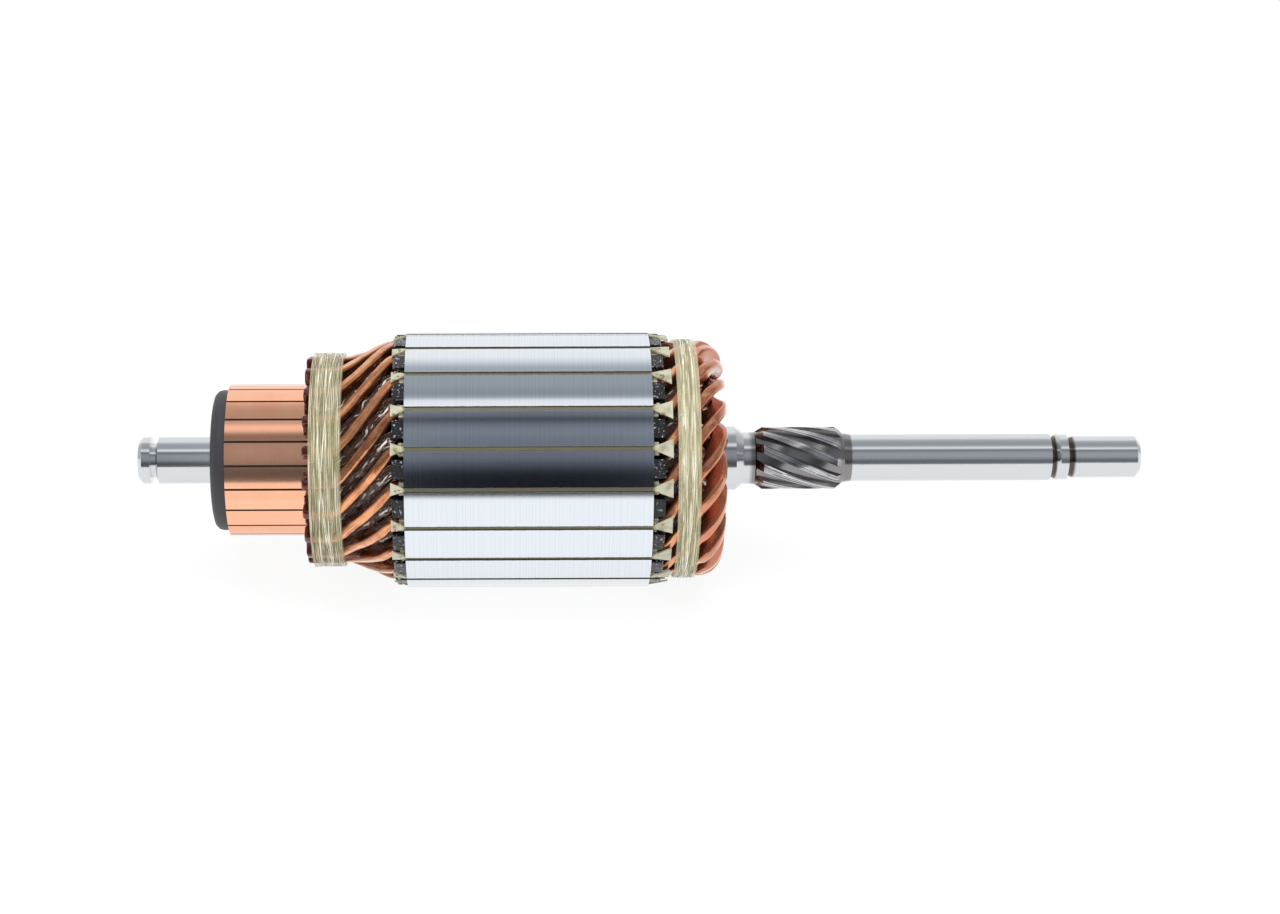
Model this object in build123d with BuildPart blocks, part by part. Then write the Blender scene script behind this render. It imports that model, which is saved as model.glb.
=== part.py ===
from build123d import *
import os
from math import cos, degrees, hypot, pi, radians, sin, sqrt, tan

# A wound starter-motor armature, in millimetres. The shaft axis is X, with the commutator at the -X end
# and the drive end at +X. The origin lies on the axis, midway between the two ends of the shaft.

# Lengths along the shaft, from the commutator end to the drive end
TIP_LAND = 2.85
CIRCLIP_GROOVE = 1.2
CIRCLIP_BEVEL = 0.6
COMMUTATOR_JOURNAL = 13.35
NOSE_LENGTH = 3.6
TRACK_LENGTH = 18.2
COMMUTATOR_OVERHANG = 20.6
END_INSULATOR = 2.8
CORE_LENGTH = 56.2
DRIVE_SHOULDER = 17.8
SHOULDER_CONE = 1.9
SPLINE_RELIEF = 2.6
SPLINE_LENGTH = 20.9
PLAIN_COLLAR = 1.9
DRIVE_JOURNAL = 46.7
RING_GROOVE = 2.1
RING_LAND = 1.9
STOP_GROOVE = 1.6
END_JOURNAL = 15.4

# Shaft radii and edges
JOURNAL_RADIUS = 5.5
CIRCLIP_RADIUS = 4.1
COMMUTATOR_SEAT_RADIUS = 6.5
CORE_SEAT_RADIUS = 8.0
CORE_SEAT_LEAD = 4.0
SHOULDER_RADIUS = 7.5
RELIEF_RADIUS = 6.1
COLLAR_RADIUS = 5.8
RING_GROOVE_RADIUS = 4.75
RING_LAND_RADIUS = 5.3
STOP_GROOVE_RADIUS = 4.55
END_JOURNAL_RADIUS = 4.87
SHAFT_CHAMFER = 0.9
CENTRE_HOLE_RADIUS = 1.5
CENTRE_HOLE_ANGLE = 60.0

# Helical splines that carry the pinion clutch
SPLINES = 10
SPLINE_RADIUS = 7.3
SPLINE_ROOT_RADIUS = 6.25
SPLINE_LEAD = 100.0
SPLINE_PHASE = 9.5
SPLINE_SPACE_ROOT = 1.7
SPLINE_SPACE_TOP = 2.6
SPLINE_CUTTER_CLEARANCE = 0.3
SPLINE_CHAMFER = 1.9

# Laminated core and the moulded insulators on its two ends
SLOTS = 20
CORE_RADIUS = 30.0
SLOT_OPENING = 0.9
TOOTH_TIP = 1.8
THROAT_SLOPE = 30.0
INSULATOR_STEP = 0.6
INSULATOR_CHAMFER = 0.5
INSULATOR_SLOT_MARGIN = 0.9

# Rectangular copper wire, the paper that lines its slot, and the clearance round each
WIRE_WIDTH = 2.4
WIRE_HEIGHT = 4.0
PAPER = 0.25
FIT = 0.05
PAPER_BEYOND_CORE = 1.2
NECK_SETBACK = 0.3
FLAP_THICKNESS = 0.4
COMMUTATOR_FLAP_LENGTH = 3.1
COMMUTATOR_FLAP_WIDTH = 3.0
DRIVE_FLAP_LENGTH = 4.5
DRIVE_FLAP_WIDTH = 4.4

# Winding: slots that one hairpin spans and bars that each leg steps over, then the places of its
# bends, measured outward from the core
COIL_SPAN = 5
BAR_STEP = 2
BEND = 1.4
COMMUTATOR_BEND = 2.7
LANDING_BEND = 15.9
UPPER_DROP_END = 14.1
LOWER_DROP_END = 12.0
DRIVE_BEND = 2.9
KNUCKLE_START = 11.8
UPPER_KNUCKLE_DIP = 0.5
LOWER_KNUCKLE_DIP = 3.0
KNUCKLE_SECTIONS = 8

# Commutator
TRACK_RADIUS = 17.8
BAR_FOOT_RADIUS = 11.6
BAR_GAP = 0.5
DOVETAIL_TOP_RADIUS = 14.8
DOVETAIL_FOOT_RADIUS = 12.4
DOVETAIL_DEPTH = 1.4
LANDING_LENGTH = 6.0
LANDING_DEPTH = 1.9
LANDING_GAP = 0.5
UNDERCUT = 0.9
NOSE_RADIUS = 16.5
NOSE_ROUND = 1.9

# Glass-fibre bands wound over the wires
BAND_THICKNESS = 0.3
BAND_FIT = 0.3
COMMUTATOR_BAND_SETBACK = 1.5
COMMUTATOR_BAND_WIDTH = 7.4
DRIVE_BAND_SETBACK = 2.9
DRIVE_BAND_WIDTH = 5.2
DRIVE_BAND_DIP = 0.9

# Stations along X, from one end of the shaft to the other
overall_length = (
    TIP_LAND + CIRCLIP_GROOVE + CIRCLIP_BEVEL + COMMUTATOR_JOURNAL + NOSE_LENGTH + TRACK_LENGTH
    + COMMUTATOR_OVERHANG + CORE_LENGTH + 2 * END_INSULATOR + DRIVE_SHOULDER + SHOULDER_CONE
    + SPLINE_RELIEF + SPLINE_LENGTH + PLAIN_COLLAR + DRIVE_JOURNAL + RING_GROOVE + RING_LAND
    + STOP_GROOVE + END_JOURNAL
)
shaft_left = -overall_length / 2
shaft_right = overall_length / 2
circlip_left = shaft_left + TIP_LAND
circlip_bevel = circlip_left + CIRCLIP_GROOVE
circlip_right = circlip_bevel + CIRCLIP_BEVEL
nose_face = circlip_right + COMMUTATOR_JOURNAL
track_left = nose_face + NOSE_LENGTH
wire_end = track_left + TRACK_LENGTH
bar_right = wire_end + LANDING_LENGTH
core_left = wire_end + COMMUTATOR_OVERHANG + END_INSULATOR
core_right = core_left + CORE_LENGTH
core_seat_left = core_left - END_INSULATOR - CORE_SEAT_LEAD
shoulder_left = core_right + END_INSULATOR
shoulder_right = shoulder_left + DRIVE_SHOULDER
relief_left = shoulder_right + SHOULDER_CONE
spline_left = relief_left + SPLINE_RELIEF
spline_right = spline_left + SPLINE_LENGTH
collar_right = spline_right + PLAIN_COLLAR
journal_right = collar_right + DRIVE_JOURNAL
ring_groove_right = journal_right + RING_GROOVE
ring_land_right = ring_groove_right + RING_LAND
stop_groove_right = ring_land_right + STOP_GROOVE

# Radii of the two wire layers and of the slot that holds them
slot_pitch = 360 / SLOTS
layer_gap = PAPER + 2 * FIT
upper_radius = CORE_RADIUS - TOOTH_TIP - WIRE_HEIGHT / 2
lower_radius = upper_radius - WIRE_HEIGHT - layer_gap
lower_landing_radius = TRACK_RADIUS - LANDING_DEPTH + WIRE_HEIGHT / 2
upper_landing_radius = lower_landing_radius + WIRE_HEIGHT + LANDING_GAP
slot_width = WIRE_WIDTH + 2 * (FIT + PAPER + FIT)
slot_floor = lower_radius - WIRE_HEIGHT / 2 - FIT - PAPER - FIT
slot_shoulder = upper_radius + WIRE_HEIGHT / 2 + FIT + PAPER + FIT
slot_throat = slot_shoulder + (slot_width - SLOT_OPENING) / 2 * tan(radians(THROAT_SLOPE))

# The knuckle winds half a turn about a ring midway between the two legs, which spread to meet it
upper_knuckle_radius = upper_radius - UPPER_KNUCKLE_DIP
lower_knuckle_radius = lower_radius - LOWER_KNUCKLE_DIP
knuckle_radius = (upper_knuckle_radius + lower_knuckle_radius) / 2
knuckle_offset = (upper_knuckle_radius - lower_knuckle_radius) / 2
half_span = radians(COIL_SPAN * slot_pitch / 2)
drive_slope = half_span / (
    (KNUCKLE_START - DRIVE_BEND) / upper_radius + knuckle_offset * pi / 2 / knuckle_radius
)
drive_turn_rate = degrees(drive_slope / upper_radius)
landing_turn_rate = BAR_STEP * slot_pitch / (LANDING_BEND - COMMUTATOR_BEND)
drive_band_left = END_INSULATOR + DRIVE_BAND_SETBACK
drive_band_right = drive_band_left + DRIVE_BAND_WIDTH


def around_shaft(shape):
    """One copy of a shape for each slot, turned about the shaft."""
    return [Rot(X=slot_pitch * number) * shape for number in range(SLOTS)]


def bent_run(past_corner):
    """Slanted length gained at a distance past a corner that is rounded over BEND to either side."""
    if past_corner <= -BEND:
        return 0
    if past_corner >= BEND:
        return past_corner
    return (past_corner + BEND) ** 2 / (4 * BEND)


def ramp(distance, length):
    """Rises from 0 to 1 over a length."""
    return min(max(distance / length, 0), 1)


def oblong(plane, height, width):
    """The four corners of an oblong centred on a plane, its height along the plane's own x."""
    return [
        plane.from_local_coords((height / 2 * up, width / 2 * across, 0))
        for up in (-1, 1)
        for across in (-1, 1)
    ]


def wire_plane(x, radius, turn, around):
    """Plane across a wire, which moves a distance around the shaft for each millimetre along it."""
    outward = Vector(0, cos(radians(turn)), sin(radians(turn)))
    sideways = Vector(0, -sin(radians(turn)), cos(radians(turn)))
    return Plane(
        origin=Vector(x, 0, 0) + outward * radius,
        x_dir=outward,
        z_dir=Vector(1, 0, 0) + sideways * around,
    )


def commutator_leg(layer_radius, landing_radius, drop_end, slot_turn, sense):
    """Planes across a leg from its slot down to the landing cut in its commutator bar."""
    planes = []
    slanted_length = LANDING_BEND - COMMUTATOR_BEND - 2 * BEND
    for out in (
        COMMUTATOR_BEND - BEND,
        COMMUTATOR_BEND,
        COMMUTATOR_BEND + BEND,
        COMMUTATOR_BEND + BEND + slanted_length / 4,
        COMMUTATOR_BEND + BEND + slanted_length / 2,
        LANDING_BEND - BEND - slanted_length / 4,
        LANDING_BEND - BEND,
        LANDING_BEND,
        LANDING_BEND + BEND,
    ):
        drop = ramp(out - COMMUTATOR_BEND, drop_end - COMMUTATOR_BEND)
        radius = layer_radius + (landing_radius - layer_radius) * drop
        run = bent_run(out - COMMUTATOR_BEND) - bent_run(out - LANDING_BEND)
        slant = ramp(out - COMMUTATOR_BEND + BEND, 2 * BEND) - ramp(out - LANDING_BEND + BEND, 2 * BEND)
        turn = slot_turn + sense * landing_turn_rate * run
        around = -sense * radius * radians(landing_turn_rate) * slant
        planes.append(wire_plane(core_left - out, radius, turn, around))
    return planes


def drive_leg(layer_radius, knuckle_end_radius, slot_turn, sense):
    """Planes across a leg from its slot, under the band, up to the start of the knuckle."""
    planes = []
    for out in (
        DRIVE_BEND - BEND,
        DRIVE_BEND,
        DRIVE_BEND + BEND,
        drive_band_left,
        (drive_band_left + drive_band_right) / 2,
        drive_band_right,
        KNUCKLE_START,
    ):
        dip = min(
            ramp(out - DRIVE_BEND, drive_band_left - DRIVE_BEND),
            ramp(KNUCKLE_START - out, KNUCKLE_START - drive_band_right),
        )
        spread = ramp(out - DRIVE_BEND, drive_band_left - DRIVE_BEND)
        band_dip = (DRIVE_BAND_DIP - UPPER_KNUCKLE_DIP) * dip
        radius = layer_radius + (knuckle_end_radius - layer_radius) * spread - band_dip
        slant = ramp(out - DRIVE_BEND + BEND, 2 * BEND)
        turn = slot_turn + sense * drive_turn_rate * bent_run(out - DRIVE_BEND)
        around = sense * radius * radians(drive_turn_rate) * slant
        planes.append(wire_plane(core_right + out, radius, turn, around))
    return planes


def knuckle():
    """Planes across the half turn that carries the wire from the upper layer into the lower one."""
    leg_turn = drive_turn_rate * (KNUCKLE_START - DRIVE_BEND)
    planes = []
    for step in range(1, KNUCKLE_SECTIONS):
        twist = pi * step / KNUCKLE_SECTIONS
        turn = -leg_turn - degrees(knuckle_offset * twist * drive_slope / knuckle_radius)
        outward = Vector(0, cos(radians(turn)), sin(radians(turn)))
        sideways = Vector(0, -sin(radians(turn)), cos(radians(turn)))
        away = outward * cos(twist) + Vector(sin(twist), 0, 0)
        forward = Vector(cos(twist), 0, 0) - outward * sin(twist)
        centre = Vector(core_right + KNUCKLE_START, 0, 0) + outward * knuckle_radius
        planes.append(
            Plane(
                origin=centre + away * knuckle_offset,
                x_dir=away,
                z_dir=forward - sideways * drive_slope,
            )
        )
    return planes


# Shaft: one steel turning with centre holes, journals, grooves and ten milled helical splines
centre_hole_depth = CENTRE_HOLE_RADIUS / tan(radians(CENTRE_HOLE_ANGLE / 2))
with BuildPart() as spline_space:
    with BuildLine():
        Helix(
            pitch=SPLINE_LEAD,
            height=SPLINE_LENGTH + 2 * SPLINE_CHAMFER,
            radius=SPLINE_ROOT_RADIUS,
            center=(spline_left - SPLINE_CHAMFER, 0, 0),
            direction=(1, 0, 0),
        )
    space_start = spline_space.pending_edges[0] @ 0
    space_heading = spline_space.pending_edges[0] % 0
    space_depth = SPLINE_RADIUS - SPLINE_ROOT_RADIUS + SPLINE_CUTTER_CLEARANCE
    with BuildSketch(Plane(origin=space_start, x_dir=(0, space_start.Y, space_start.Z), z_dir=space_heading)):
        Polygon(
            (0, -SPLINE_SPACE_ROOT / 2),
            (0, SPLINE_SPACE_ROOT / 2),
            (space_depth, SPLINE_SPACE_TOP / 2),
            (space_depth, -SPLINE_SPACE_TOP / 2),
            align=None,
        )
    sweep(is_frenet=True)
spline_spaces = [
    Rot(X=SPLINE_PHASE + 360 / SPLINES * number) * spline_space.part for number in range(SPLINES)
]

with BuildPart() as shaft:
    with BuildSketch(Plane.XY):
        with BuildLine():
            Polyline(
                (shaft_left + centre_hole_depth, 0),
                (shaft_left, CENTRE_HOLE_RADIUS),
                (shaft_left, JOURNAL_RADIUS - SHAFT_CHAMFER),
                (shaft_left + SHAFT_CHAMFER, JOURNAL_RADIUS),
                (circlip_left, JOURNAL_RADIUS),
                (circlip_left, CIRCLIP_RADIUS),
                (circlip_bevel, CIRCLIP_RADIUS),
                (circlip_right, JOURNAL_RADIUS),
                (nose_face, JOURNAL_RADIUS),
                (nose_face, COMMUTATOR_SEAT_RADIUS),
                (core_seat_left, COMMUTATOR_SEAT_RADIUS),
                (core_seat_left, CORE_SEAT_RADIUS),
                (shoulder_left, CORE_SEAT_RADIUS),
                (shoulder_left, SHOULDER_RADIUS),
                (shoulder_right, SHOULDER_RADIUS),
                (relief_left, RELIEF_RADIUS),
                (spline_left, RELIEF_RADIUS),
                (spline_left + SPLINE_CHAMFER, SPLINE_RADIUS),
                (spline_right - SPLINE_CHAMFER, SPLINE_RADIUS),
                (spline_right, COLLAR_RADIUS),
                (collar_right, JOURNAL_RADIUS),
                (journal_right, JOURNAL_RADIUS),
                (journal_right, RING_GROOVE_RADIUS),
                (journal_right + RING_GROOVE / 3, RING_GROOVE_RADIUS),
                (ring_groove_right - RING_GROOVE / 6, JOURNAL_RADIUS),
                (ring_groove_right, RING_LAND_RADIUS),
                (ring_land_right, RING_LAND_RADIUS),
                (ring_land_right, STOP_GROOVE_RADIUS),
                (ring_land_right + STOP_GROOVE / 2, STOP_GROOVE_RADIUS),
                (stop_groove_right, END_JOURNAL_RADIUS),
                (shaft_right - SHAFT_CHAMFER, END_JOURNAL_RADIUS),
                (shaft_right, END_JOURNAL_RADIUS - SHAFT_CHAMFER),
                (shaft_right, CENTRE_HOLE_RADIUS),
                (shaft_right - centre_hole_depth, 0),
                close=True,
            )
        make_face()
    revolve(axis=Axis.X)
    for space in spline_spaces:
        add(space, mode=Mode.SUBTRACT)

# Core: steel laminations with half-closed slots, pressed on the shaft
with BuildPart() as lamination_stack:
    with BuildSketch(Plane.YZ.offset(core_left)):
        Circle(CORE_RADIUS)
        Circle(CORE_SEAT_RADIUS, mode=Mode.SUBTRACT)
        with PolarLocations(0, SLOTS):
            Polygon(
                (slot_floor, slot_width / 2),
                (slot_shoulder, slot_width / 2),
                (slot_throat, SLOT_OPENING / 2),
                (CORE_RADIUS + TOOTH_TIP, SLOT_OPENING / 2),
                (CORE_RADIUS + TOOTH_TIP, -SLOT_OPENING / 2),
                (slot_throat, -SLOT_OPENING / 2),
                (slot_shoulder, -slot_width / 2),
                (slot_floor, -slot_width / 2),
                align=None,
                mode=Mode.SUBTRACT,
            )
    extrude(amount=CORE_LENGTH)

# End insulators: black moulded rings whose teeth cover those of the core
insulator_slot_width = slot_width + 2 * INSULATOR_SLOT_MARGIN
insulator_floor = slot_floor - INSULATOR_SLOT_MARGIN
insulator_radius = CORE_RADIUS - INSULATOR_STEP
insulators = {}
for name, inner_face, side in (
    ("commutator_end_insulator", core_left, -1),
    ("drive_end_insulator", core_right, 1),
):
    with BuildPart() as insulator:
        with BuildSketch(Plane.YZ.offset(inner_face)):
            Circle(insulator_radius)
            Circle(CORE_SEAT_RADIUS, mode=Mode.SUBTRACT)
        extrude(amount=side * END_INSULATOR)
        outer_face = insulator.faces().sort_by(Axis.X)[0 if side < 0 else -1]
        chamfer(outer_face.edges().sort_by(SortBy.RADIUS)[-1], INSULATOR_CHAMFER)
        with BuildSketch(Plane.YZ.offset(inner_face)):
            with PolarLocations(0, SLOTS):
                with Locations(((insulator_floor + CORE_RADIUS) / 2, 0)):
                    Rectangle(CORE_RADIUS - insulator_floor, insulator_slot_width)
        extrude(amount=side * END_INSULATOR, mode=Mode.SUBTRACT)
    insulators[name] = insulator.part

# Slot liners: folded insulating paper round both wires, its lips standing in the slot opening and
# spread into a flap beyond each end of the core
window_height = WIRE_HEIGHT + 2 * FIT
window_width = WIRE_WIDTH + 2 * FIT
neck_top = CORE_RADIUS - NECK_SETBACK
flap_end_radius = upper_radius + WIRE_HEIGHT / 2 + FIT + PAPER + FLAP_THICKNESS / 2
with BuildPart() as slot_liner:
    with BuildSketch(Plane.YZ.offset(core_left - PAPER_BEYOND_CORE)):
        with Locations(((slot_floor + slot_shoulder) / 2, 0)):
            Rectangle(slot_shoulder - slot_floor - 2 * FIT, slot_width - 2 * FIT)
        with Locations((upper_radius, 0), (lower_radius, 0)):
            Rectangle(window_height, window_width, mode=Mode.SUBTRACT)
    extrude(amount=CORE_LENGTH + 2 * PAPER_BEYOND_CORE)
    with BuildSketch(Plane.YZ.offset(core_left)):
        with Locations(((slot_shoulder - FIT + neck_top) / 2, 0)):
            Rectangle(neck_top - slot_shoulder + FIT, SLOT_OPENING - 2 * FIT)
    extrude(amount=CORE_LENGTH)
    for inner_end, side, length, width in (
        (core_left, -1, COMMUTATOR_FLAP_LENGTH, COMMUTATOR_FLAP_WIDTH),
        (core_right, 1, DRIVE_FLAP_LENGTH, DRIVE_FLAP_WIDTH),
    ):
        root = wire_plane(inner_end, neck_top - FLAP_THICKNESS / 2, 0, 0)
        tip = wire_plane(inner_end + side * length, flap_end_radius, 0, 0)
        ConvexPolyhedron(
            [
                *oblong(root, FLAP_THICKNESS, SLOT_OPENING - 2 * FIT),
                *oblong(tip, FLAP_THICKNESS, width),
            ]
        )

slot_liners = Compound(children=around_shaft(slot_liner.part))

# Hairpins: one bar of copper each, an upper leg in one slot and a lower leg five slots further on,
# joined by the knuckle at the drive end, with both free ends bent round to the commutator
upper_turn = 0
lower_turn = -COIL_SPAN * slot_pitch
upper_end_turn = upper_turn + BAR_STEP * slot_pitch
lower_end_turn = lower_turn - BAR_STEP * slot_pitch
wire_path = [
    wire_plane(wire_end, upper_landing_radius, upper_end_turn, 0),
    *reversed(commutator_leg(upper_radius, upper_landing_radius, UPPER_DROP_END, upper_turn, 1)),
    *drive_leg(upper_radius, upper_knuckle_radius, upper_turn, -1),
    *knuckle(),
    *reversed(drive_leg(lower_radius, lower_knuckle_radius, lower_turn, 1)),
    *commutator_leg(lower_radius, lower_landing_radius, LOWER_DROP_END, lower_turn, -1),
    wire_plane(wire_end, lower_landing_radius, lower_end_turn, 0),
]
with BuildPart() as hairpin:
    for near, far in zip(wire_path, wire_path[1:]):
        ConvexPolyhedron([*oblong(near, WIRE_HEIGHT, WIRE_WIDTH), *oblong(far, WIRE_HEIGHT, WIRE_WIDTH)])

# Commutator bars: drawn copper wedges with a dovetail foot and a landing milled for the wire ends
half_pitch = radians(slot_pitch / 2)


def bar_corner(radius):
    """Corner of a bar at a radius, held back from the next bar by half the gap between them."""
    along = sqrt(radius**2 - (BAR_GAP / 2) ** 2)
    return (
        along * cos(half_pitch) + BAR_GAP / 2 * sin(half_pitch),
        along * sin(half_pitch) - BAR_GAP / 2 * cos(half_pitch),
    )


with BuildPart() as commutator_bar:
    foot_x, foot_y = bar_corner(BAR_FOOT_RADIUS)
    top_x, top_y = bar_corner(TRACK_RADIUS)
    with BuildSketch(Plane.YZ.offset(track_left)):
        with BuildLine():
            Polyline((top_x, -top_y), (foot_x, -foot_y), (foot_x, foot_y), (top_x, top_y))
            ThreePointArc((top_x, top_y), (TRACK_RADIUS, 0), (top_x, -top_y))
        make_face()
    extrude(amount=TRACK_LENGTH + LANDING_LENGTH)
    dovetail_middle = (DOVETAIL_TOP_RADIUS + DOVETAIL_FOOT_RADIUS) / 2
    with BuildSketch(Plane.XY):
        for end, inward in ((track_left, 1), (bar_right, -1)):
            Polygon(
                (end, DOVETAIL_TOP_RADIUS),
                (end + inward * DOVETAIL_DEPTH, dovetail_middle),
                (end, DOVETAIL_FOOT_RADIUS),
                align=None,
            )
    extrude(amount=top_y, both=True, mode=Mode.SUBTRACT)
    with BuildSketch(Plane.XY):
        with Locations(((wire_end + bar_right) / 2, TRACK_RADIUS)):
            Rectangle(LANDING_LENGTH, 2 * (LANDING_DEPTH + FIT))
    extrude(amount=window_width / 2, both=True, mode=Mode.SUBTRACT)
commutator_bars = around_shaft(commutator_bar.part)

# Commutator moulding: holds the bar feet, fills the gaps between bars and ends in the rounded nose
gap_floor = TRACK_RADIUS - UNDERCUT
landing_floor = TRACK_RADIUS - LANDING_DEPTH - FIT
nose_edge = [
    (
        nose_face + NOSE_ROUND * (1 - cos(radians(angle))),
        NOSE_RADIUS - NOSE_ROUND * (1 - sin(radians(angle))),
    )
    for angle in (0, 30, 60, 90)
]
with BuildPart() as commutator_body:
    with BuildSketch(Plane.XY):
        with BuildLine():
            Polyline(
                *nose_edge,
                (track_left, NOSE_RADIUS),
                (track_left, gap_floor),
                (wire_end, gap_floor),
                (wire_end, landing_floor),
                (bar_right, landing_floor),
                (bar_right, COMMUTATOR_SEAT_RADIUS),
                (nose_face, COMMUTATOR_SEAT_RADIUS),
                close=True,
            )
        make_face()
    revolve(axis=Axis.X)
    for bar in commutator_bars:
        add(bar, mode=Mode.SUBTRACT)

# Bands: resin-soaked glass yarn pulled tight over the wires, so it runs flat from one to the next
band_sides = 2 * SLOTS
bands = {}
landing_slope = radians(landing_turn_rate) * upper_landing_radius
for name, start, width, wire_top, slope in (
    (
        "commutator_end_band",
        wire_end + COMMUTATOR_BAND_SETBACK,
        COMMUTATOR_BAND_WIDTH,
        upper_landing_radius + WIRE_HEIGHT / 2,
        landing_slope,
    ),
    (
        "drive_end_band",
        core_right + drive_band_left,
        DRIVE_BAND_WIDTH,
        upper_radius - DRIVE_BAND_DIP + WIRE_HEIGHT / 2,
        drive_slope,
    ),
):
    wire_corner = hypot(wire_top, WIRE_WIDTH / 2 * sqrt(1 + slope**2))
    inside = (wire_corner + BAND_FIT) / cos(pi / band_sides)
    with BuildPart() as band:
        with BuildSketch(Plane.YZ.offset(start)):
            RegularPolygon(inside + BAND_THICKNESS, band_sides)
            RegularPolygon(inside, band_sides, mode=Mode.SUBTRACT)
        extrude(amount=width)
    bands[name] = band.part

pieces = {
    "shaft": shaft.part,
    "lamination_stack": lamination_stack.part,
    "slot_liners": slot_liners,
    "commutator_body": commutator_body.part,
    **insulators,
    **bands,
}
for number, copy in enumerate(around_shaft(hairpin.part), start=1):
    pieces[f"hairpin_{number:02d}"] = copy
for number, copy in enumerate(commutator_bars, start=1):
    pieces[f"commutator_bar_{number:02d}"] = copy

os.makedirs("parts", exist_ok=True)
for name, piece in pieces.items():
    piece.label = name
    export_step(piece, f"parts/{name}.step")
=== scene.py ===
from math import cos, pi, radians, sin, sqrt

import bpy
from mathutils import Matrix, Vector


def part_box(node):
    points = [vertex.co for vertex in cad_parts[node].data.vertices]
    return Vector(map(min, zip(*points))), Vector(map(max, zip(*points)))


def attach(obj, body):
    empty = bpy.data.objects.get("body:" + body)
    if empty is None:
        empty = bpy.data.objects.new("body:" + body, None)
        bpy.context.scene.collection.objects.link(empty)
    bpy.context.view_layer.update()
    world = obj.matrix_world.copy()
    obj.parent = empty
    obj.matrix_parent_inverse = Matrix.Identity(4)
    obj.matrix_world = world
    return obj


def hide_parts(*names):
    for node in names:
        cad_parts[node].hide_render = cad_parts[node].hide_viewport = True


# A wound starter-motor armature in its CAD frame: the shaft lies along X with the commutator at the
# -X end, and the photographed side faces -Y. Sizes are in millimetres; MM turns them to metres.
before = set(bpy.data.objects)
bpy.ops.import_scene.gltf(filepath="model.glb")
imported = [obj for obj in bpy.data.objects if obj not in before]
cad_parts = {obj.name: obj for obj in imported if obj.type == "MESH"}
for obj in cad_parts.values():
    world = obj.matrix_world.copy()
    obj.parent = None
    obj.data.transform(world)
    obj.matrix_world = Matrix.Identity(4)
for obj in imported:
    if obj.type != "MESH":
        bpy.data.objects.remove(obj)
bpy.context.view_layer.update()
MM = 0.001


# Shaft. One bar of alloy steel, turned, then ground on its journals. The helical splines for the pinion
# clutch are milled and left oiled, so they are greyer than the journals. Their roots and the ring
# grooves near the drive end are painted darker as shade.


def linear(hex_colour):
    """Linear red, green, blue and alpha of an sRGB hex colour such as "#c08a60"."""
    values = [int(hex_colour[i : i + 2], 16) / 255 for i in (1, 3, 5)]
    return [v / 12.92 if v <= 0.04045 else ((v + 0.055) / 1.055) ** 2.4 for v in values] + [1.0]


def add_node(tree, kind, inputs=None, **settings):
    """Adds one node, sets its properties, and fills its inputs with values or with other outputs."""
    made = tree.nodes.new(kind)
    for name, value in settings.items():
        setattr(made, name, value)
    for key, value in (inputs or {}).items():
        if isinstance(value, bpy.types.NodeSocket):
            tree.links.new(value, made.inputs[key])
        else:
            made.inputs[key].default_value = value
    return made


def new_material(name, **surface):
    """A material with one Principled shader whose sockets take the named values."""
    material = bpy.data.materials.new(name)
    material.use_nodes = True
    tree = material.node_tree
    shader = tree.nodes["Principled BSDF"]
    for socket, value in surface.items():
        shader.inputs[socket.replace("_", " ")].default_value = value
    return material, tree, shader


def dress(material, *node_names):
    """Puts a material on CAD nodes, which keep their own meshes."""
    for name in node_names:
        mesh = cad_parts[name].data
        mesh.materials.clear()
        mesh.materials.append(material)


GRINDING_LINE = 0.16
OILED_FROM, OILED_TO = 26.0, 49.7
SPLINE_ROOT, SPLINE_CREST, SPLINE_LEAD = 6.35, 7.1, 100.0
MILLING_LINE = 0.45
OIL_SMEAR, SMEAR_SHARE, OIL_DULLING = 2.381, 0.35, 0.05
SHAFT_STEEL = "#d6dadd"
OILED_STEEL = "#dcdcde"
SMEARED_OIL = "#6f6e72"
# Painted shade for the spline roots and the neck beside them.
ROOT_PAINTED_SHADE = "#8e8c8c"
GROOVES_FROM, GROOVES_TO, RING_LAND = 96.5, 102.0, 5.25
# Painted shade for the floors of the ring grooves.
GROOVE_PAINTED_SHADE = "#5b554f"

# Ground alloy steel gives a bright mirror drawn into fine rings by the wheel, here coarser than real so
# that they show. The milled splines keep lines along their helix, and oil smears them grey. Painted
# shade darkens the spline roots and the ring grooves.
shaft_steel, tree, shader = new_material("ground_shaft_steel", Metallic=1.0)
place = add_node(tree, "ShaderNodeTexCoord").outputs["Object"]
along = add_node(tree, "ShaderNodeSeparateXYZ", {0: place}).outputs["X"]
grinding = add_node(
    tree,
    "ShaderNodeTexNoise",
    {"W": along, "Scale": 1 / (GRINDING_LINE * MM), "Detail": 3.0},
    noise_dimensions="1D",
).outputs["Fac"]
smears = add_node(
    tree,
    "ShaderNodeTexNoise",
    {"Vector": place, "Scale": 1 / (OIL_SMEAR * MM), "Detail": 6.0, "Roughness": 0.6},
).outputs["Fac"]
past_cone = add_node(
    tree,
    "ShaderNodeMapRange",
    {"Value": along, "From Min": (OILED_FROM - 0.5) * MM, "From Max": (OILED_FROM + 0.5) * MM},
).outputs[0]
before_journal = add_node(
    tree,
    "ShaderNodeMapRange",
    {"Value": along, "From Min": (OILED_TO + 0.1) * MM, "From Max": (OILED_TO - 0.1) * MM},
).outputs[0]
oiled = add_node(
    tree, "ShaderNodeMath", {0: past_cone, 1: before_journal}, operation="MULTIPLY"
).outputs[0]
axes = add_node(tree, "ShaderNodeSeparateXYZ", {0: place})
turn = add_node(
    tree, "ShaderNodeMath", {0: axes.outputs["Z"], 1: axes.outputs["Y"]}, operation="ARCTAN2"
).outputs[0]
unscrewed = add_node(
    tree,
    "ShaderNodeMath",
    {0: along, 1: -2 * pi / (SPLINE_LEAD * MM), 2: turn},
    operation="MULTIPLY_ADD",
).outputs[0]
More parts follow.
